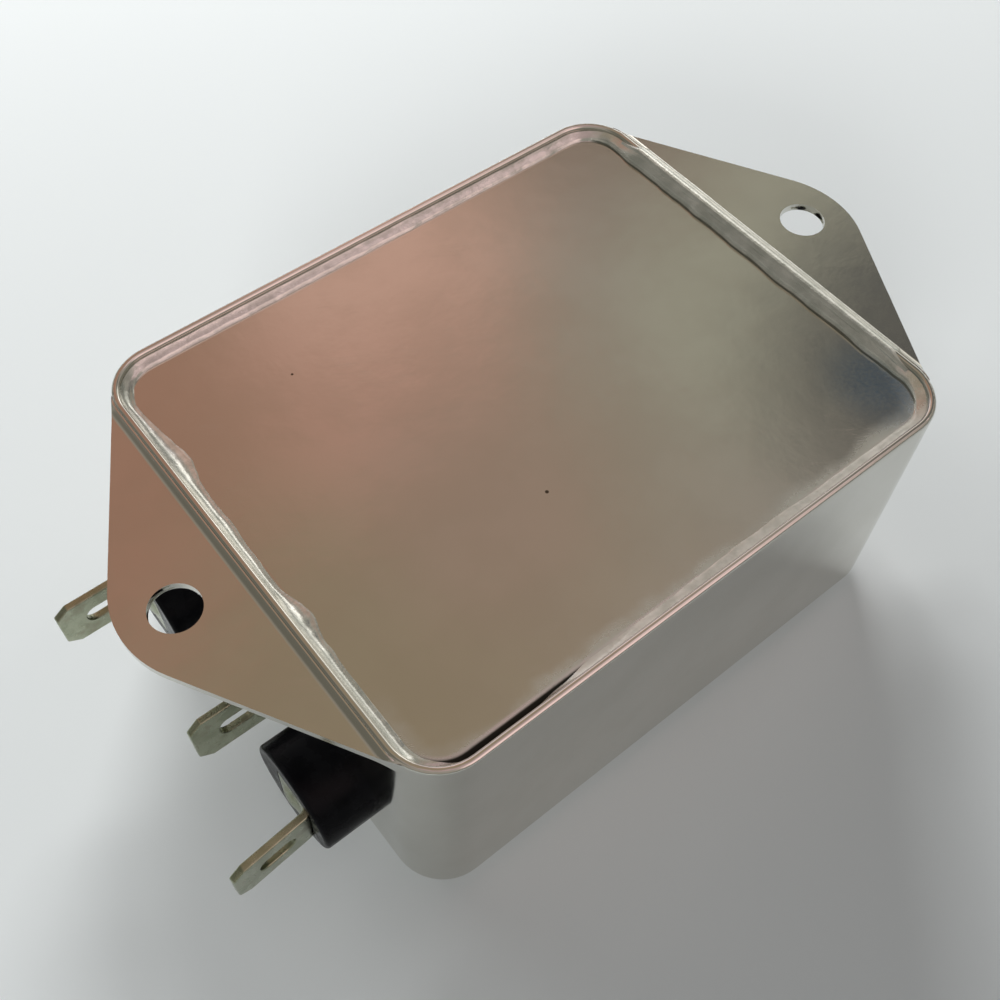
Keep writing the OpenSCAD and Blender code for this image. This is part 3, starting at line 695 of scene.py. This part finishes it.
# Solder between the rim and the cover. Sizes in mm. It fills the groove round the cover's
# rounded edge, ends on the cover in a steep toe and climbs to the rim. Widths from the rim and
# heights over the cover are pairs of a place along the side and a size.
seamSettings = {
    "cover": 28.7,                        # top of the cover
    "bend": 1.1,                          # outside radius of the cover's edge
    "grooveFloor": 28.0,
    "under": 0.03,                        # how far the underside lies within the cover's edge
    "leans": (30, 60, 85),                # degrees round that edge, one point of the underside each
    "pitch": 0.28,                        # along the sides
    "cornerSteps": 26,
    "across": 14, "crowding": 1.5,        # steps across, closer together at the toe
    "toeRun": 0.26,                       # over which the toe rises
    "sunk": 0.01,                         # the toe's edge under the cover's face
    "merge": 0.002,
    "widths": {
        "nearLong": [(-26, 0.5), (-12, 0.5), (-6, 0.9), (5, 1.2), (19, 0.9), (26, 0.8)],
        "farLong": [(-26, 0.8), (26, 0.9)],
        "nearShort": [(-20, 1.0), (-10, 1.2), (-7, 1.8), (-3, 0.9), (1, 1.1), (8, 1.2), (14, 1.8),
                      (20, 1.1)],
        "farShort": [(-20, 1.05), (0, 1.0), (20, 1.05)],
    },
    "heights": {
        "nearLong": [(-26, 0.18), (26, 0.18)],
        "farLong": [(-26, 0.62), (26, 0.62)],
        "nearShort": [(-20, 0.80), (20, 0.80)],
        "farShort": [(-20.6, 0.90), (-17.5, 1.25), (17.5, 1.25), (20.6, 0.90)],
    },
    "toes": {"nearLong": 0.03, "farLong": 0.19, "nearShort": 0.045, "farShort": 0.30},
    "climbs": {"nearLong": 1.5, "farLong": 1.5, "nearShort": 2.6, "farShort": 0.7},    # over 1 is hollow
    "slow": (0.35, 0.18, 0.15),                   # noise: waves per mm, share of width and of height
    "quick": (1.1, 0.05),
    "gapAt": (-23.0, -24.9), "gapReach": 6.2,     # where the groove was left open
    "gapCore": 1.55, "gapLag": 0.5,               # the solder closes in from the cover's side
    "gapSheet": (0.02, 0.1), "gapWidth": 0.12,    # what is left of the solder there
    "lumpsAt": (-29.3, -7.4), "lumpsReach": 2.6,  # where the solder set rough
    "lumps": (0.015, 0.09),                       # height anywhere, and added where it is rough
    "lumpWaves": (1.9, 4.5), "fineLumps": 0.6,
    "lumpSpan": 1.1,                              # over 1 ends the lumps short of the rim
    "sharp": 60,                                  # degrees
}


# Width, height, toe and climb at a place on the rim, blended from side to side round a corner
def seamSection(x, y, out, s):
    width = height = toe = climb = 0
    sides = (("farShort", out.x, y), ("nearShort", -out.x, y), ("farLong", out.y, x), ("nearLong", -out.y, x))
    for side, share, place in sides:
        share = max(share, 0) ** 2
        width += share * alongKnots(s["widths"][side], place)
        height += share * alongKnots(s["heights"][side], place)
        toe += share * s["toes"][side]
        climb += share * s["climbs"][side]
    slowWaves, slowWidth, slowHeight = s["slow"]
    quickWaves, quickWidth = s["quick"]
    # The last number of each vector picks a slice of the noise
    slow = noise.noise(Vector((x * slowWaves, y * slowWaves, 4.0)))
    quick = noise.noise(Vector((x * quickWaves, y * quickWaves, 9.0)))
    width *= 1 + slowWidth * slow + quickWidth * quick
    return width, height * (1 + slowHeight * slow), toe, climb


def makeSeam(s, walls):
    bm = bmesh.new()
    share = bm.verts.layers.float.new("share")    # 0 at the toe, 1 at the rim, -1 underneath
    straight = Vector((walls["x"] - walls["round"], walls["y"] - walls["round"]))
    section = [(step / s["across"]) ** s["crowding"] for step in range(s["across"] + 1)]
    outline = [(1 - part, s["cover"], part) for part in section]
    outline.append((0.0, s["grooveFloor"], -1))
    for lean in map(math.radians, s["leans"]):
        outline.append((s["bend"] * (1 - math.cos(lean)) + s["under"],
                        s["cover"] - s["bend"] * (1 - math.sin(lean)) - s["under"], -1))
    ring = []
    for inset, height, part in outline:
        vert = bm.verts.new(((walls["x"] - inset) * mm, -straight.y * mm, height * mm))
        vert[share] = part
        ring.append(vert)
    edges = [bm.edges.new(pair) for pair in zip(ring, ring[1:] + ring[:1])]
    ends = ring + edges
    # Each run along a side ends in a turn round its corner
    turns = [(1, 1), (-1, 1), (-1, -1), (1, -1)]
    runs = [(0, 1), (-1, 0), (0, -1), (1, 0)]
    for (turnX, turnY), (runX, runY) in zip(turns, runs):
        length = 2 * (straight.x if runX else straight.y)
        steps = round(length / s["pitch"])
        way = Vector((runX, runY, 0)) * (length / steps * mm)
        ends = bmesh.ops.spin(bm, geom=ends, axis=(0, 0, 1), dvec=way, angle=0, steps=steps)["geom_last"]
        centre = (turnX * straight.x * mm, turnY * straight.y * mm, 0)
        ends = bmesh.ops.spin(bm, geom=ends, cent=centre, axis=(0, 0, 1), angle=math.pi / 2,
                              steps=s["cornerSteps"])["geom_last"]
    bmesh.ops.remove_doubles(bm, verts=bm.verts, dist=s["merge"] * mm)
    bmesh.ops.recalc_face_normals(bm, faces=bm.faces)
    for vert in bm.verts:
        x, y, z = vert.co / mm
        inset, out = rimPlace(x, y, walls)
        rim = Vector((x, y)) + out * inset
        part = vert[share]
        ahead = (1 - part) * s["gapLag"] if part >= 0 else 0.0
        gap = smoothStep(s["gapCore"] - ahead - (rim - Vector(s["gapAt"])).length / s["gapReach"])
        if part >= 0:
            width, height, toe, climb = seamSection(rim.x, rim.y, out, s)
            rough = smoothStep(1 - (rim - Vector(s["lumpsAt"])).length / s["lumpsReach"])
            broad, fine = s["lumpWaves"]
            lump = noise.noise(Vector((x, y, 2.0)) * broad)
            lump += s["fineLumps"] * noise.noise(Vector((x, y, 7.0)) * fine)
            hump = math.sin(math.pi * min(part * s["lumpSpan"], 1.0))
            swell = toe * (1 - (1 - min(part * width / s["toeRun"], 1.0)) ** 2)
            z = s["cover"] - s["sunk"] + swell + (height - toe) * part ** climb
            z += hump * lump * (s["lumps"][0] + s["lumps"][1] * rough)
            inset = width * (1 - part)
        below, thick = s["gapSheet"]
        z += gap * (s["grooveFloor"] - below - thick * (part < 0) - z)
        inset += gap * (inset * s["gapWidth"] - inset)
        spot = rim - out * inset
        vert.co = Vector((spot.x, spot.y, z)) * mm
    bm.verts.layers.float.remove(share)
    return addPiece(bm, "solderSeam", "solder", s["sharp"])


seam = makeSeam(seamSettings, wallSettings)
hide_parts("tin_seam")
print("solder seam made:", len(seam.data.polygons), "faces")


edgeSettings = {"merge": 0.001, "flat": 0.5}      # mm, degrees


# A merged copy of a CAD solid with its sharp edges broken, as a stamped piece has them. Sizes in
# mm, angles in degrees.
def breakEdges(node, piece, finish, s, shape=None):
    bm = bmesh.new()
    bm.from_mesh(nodes[node].data)
    bmesh.ops.remove_doubles(bm, verts=bm.verts, dist=edgeSettings["merge"] * mm)
    flat = math.radians(edgeSettings["flat"])
    bmesh.ops.dissolve_limit(bm, angle_limit=flat, verts=bm.verts, edges=bm.edges)
    if shape:
        shape(bm)
    sharp = [edge for edge in bm.edges if len(edge.link_faces) == 2
             and edge.calc_face_angle(0) > math.radians(s["sharpest"])]
    bmesh.ops.bevel(bm, geom=sharp, offset=s["width"] * mm, offset_type="OFFSET", affect="EDGES",
                    segments=s["segments"], profile=0.5, material=-1, clamp_overlap=s["clamp"])
    made = addPiece(bm, piece, finish)
    flatten = made.modifiers.new("evenShading", "WEIGHTED_NORMAL")
    flatten.keep_sharp = True
    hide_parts(node)


caseEdges = {"width": 0.06, "segments": 2, "sharpest": 50, "clamp": True}
rimSettings = {
    "top": 29.95, "sheet": 0.8,           # mm
    "edge": 0.25,                         # the CAD's radius
    "full": 0.4, "meet": 82,              # the new radius, and the degrees of it on each side
    "slack": 0.001, "near": 0.006,        # how closely a point must lie on the old round
}


# The rim's two small radii, grown into one full round where the tin has wetted it
def roundRim(bm):
    s = rimSettings
    for vert in bm.verts:
        x, y, z = vert.co / mm
        rise = z - s["top"] + s["edge"]
        if rise < -s["slack"]:
            continue
        inset, out = rimPlace(x, y, wallSettings)
        for side, depth in ((1, -inset), (-1, inset + s["sheet"])):     # from the inner or outer face
            off = abs(math.hypot(rise, s["edge"] - depth) - s["edge"])
            if off > s["near"] or depth > s["edge"] + s["slack"]:
                continue
            turn = math.atan2(rise, s["edge"] - depth) * s["meet"] / 90
            fuller = s["full"] * (1 - math.cos(turn))
            spot = Vector((x, y)) + out * (fuller - depth) * side
            vert.co = Vector((spot.x, spot.y, s["top"] - s["full"] * (1 - math.sin(turn)))) * mm
            break


breakEdges("can", "drawnCase", "tinnedSteel", caseEdges, roundRim)
print("case dressed")

# Solder that ran over the rim on the +X side and smoothed the bend down to the ear. Sizes in mm.
rollSettings = {
    "from": 30.1, "peak": 30.4, "to": 32.2,       # across
    "top": 30.05, "ear": 29.4, "drop": 0.38,
    "rise": 1.3, "fall": 1.35,                    # higher keeps a slope full for longer
    "ends": 20.4, "fade": 2.5, "pitch": 0.4,      # along the side
    "inner": 5, "outer": 16,                      # steps up to the peak and down from it
    "sink": 0.36, "dip": 0.16,                    # how far the ends dip under the case's skin
    "wander": 0.10, "waves": (0.3, 0.22),         # noise: share of height, waves per mm in X and Y
    "skin": 0.05, "sunk": 0.005,                  # thickness, and the lower edge under the ear's face
}


def makeRimRoll(s):
    bm = bmesh.new()
    across = [s["from"] + (s["peak"] - s["from"]) * step / s["inner"] for step in range(s["inner"])]
    across += [s["peak"] + (s["to"] - s["peak"]) * step / s["outer"] for step in range(s["outer"] + 1)]
    row = [bm.verts.new((x * mm, -s["ends"] * mm, s["top"] * mm)) for x in across]
    ends = row + [bm.edges.new(pair) for pair in zip(row, row[1:])]
    steps = round(2 * s["ends"] / s["pitch"])
    way = Vector((0, 2 * s["ends"] / steps * mm, 0))
    bmesh.ops.spin(bm, geom=ends, axis=(0, 0, 1), dvec=way, angle=0, steps=steps)
    for vert in bm.verts:
        x, y, z = vert.co / mm
        wander = s["wander"] * noise.noise(Vector((x * s["waves"][0], y * s["waves"][1], 1.0)))
        if x < s["peak"]:
            z = s["top"] - s["drop"] * ((s["peak"] - x) / (s["peak"] - s["from"])) ** s["rise"]
        else:
            outward = min((x - s["peak"]) / (s["to"] - s["peak"]), 1.0)
            fall = (1 + math.cos(math.pi * outward ** s["fall"])) / 2
            z = s["ear"] - s["sunk"] + (s["top"] - s["ear"]) * fall * (1 + wander * (1 - fall))
        ending = smoothStep(1 - (s["ends"] - abs(y)) / s["fade"])
        dip = s["sink"] + s["dip"] * math.sin(math.pi * smoothStep(x - s["peak"]))
        vert.co.z = (z - ending * dip) * mm
    bmesh.ops.solidify(bm, geom=bm.faces, thickness=s["skin"] * mm)
    bmesh.ops.recalc_face_normals(bm, faces=bm.faces)
    return addPiece(bm, "rimRoll", "solder")


roll = makeRimRoll(rollSettings)
print("rim roll made:", len(roll.data.polygons), "faces")

tabEdges = {"width": 0.16, "segments": 4, "sharpest": 30, "clamp": False}
tabPieces = {
    "line_tab_1": "lineTabLeft", "line_tab_2": "lineTabRight", "load_tab_1": "loadTabLeft",
    "load_tab_2": "loadTabRight", "earth_tab": "earthTab",
}
for node, piece in tabPieces.items():
    breakEdges(node, piece, "platedBrass", tabEdges)
print("tabs dressed:", len(tabPieces))
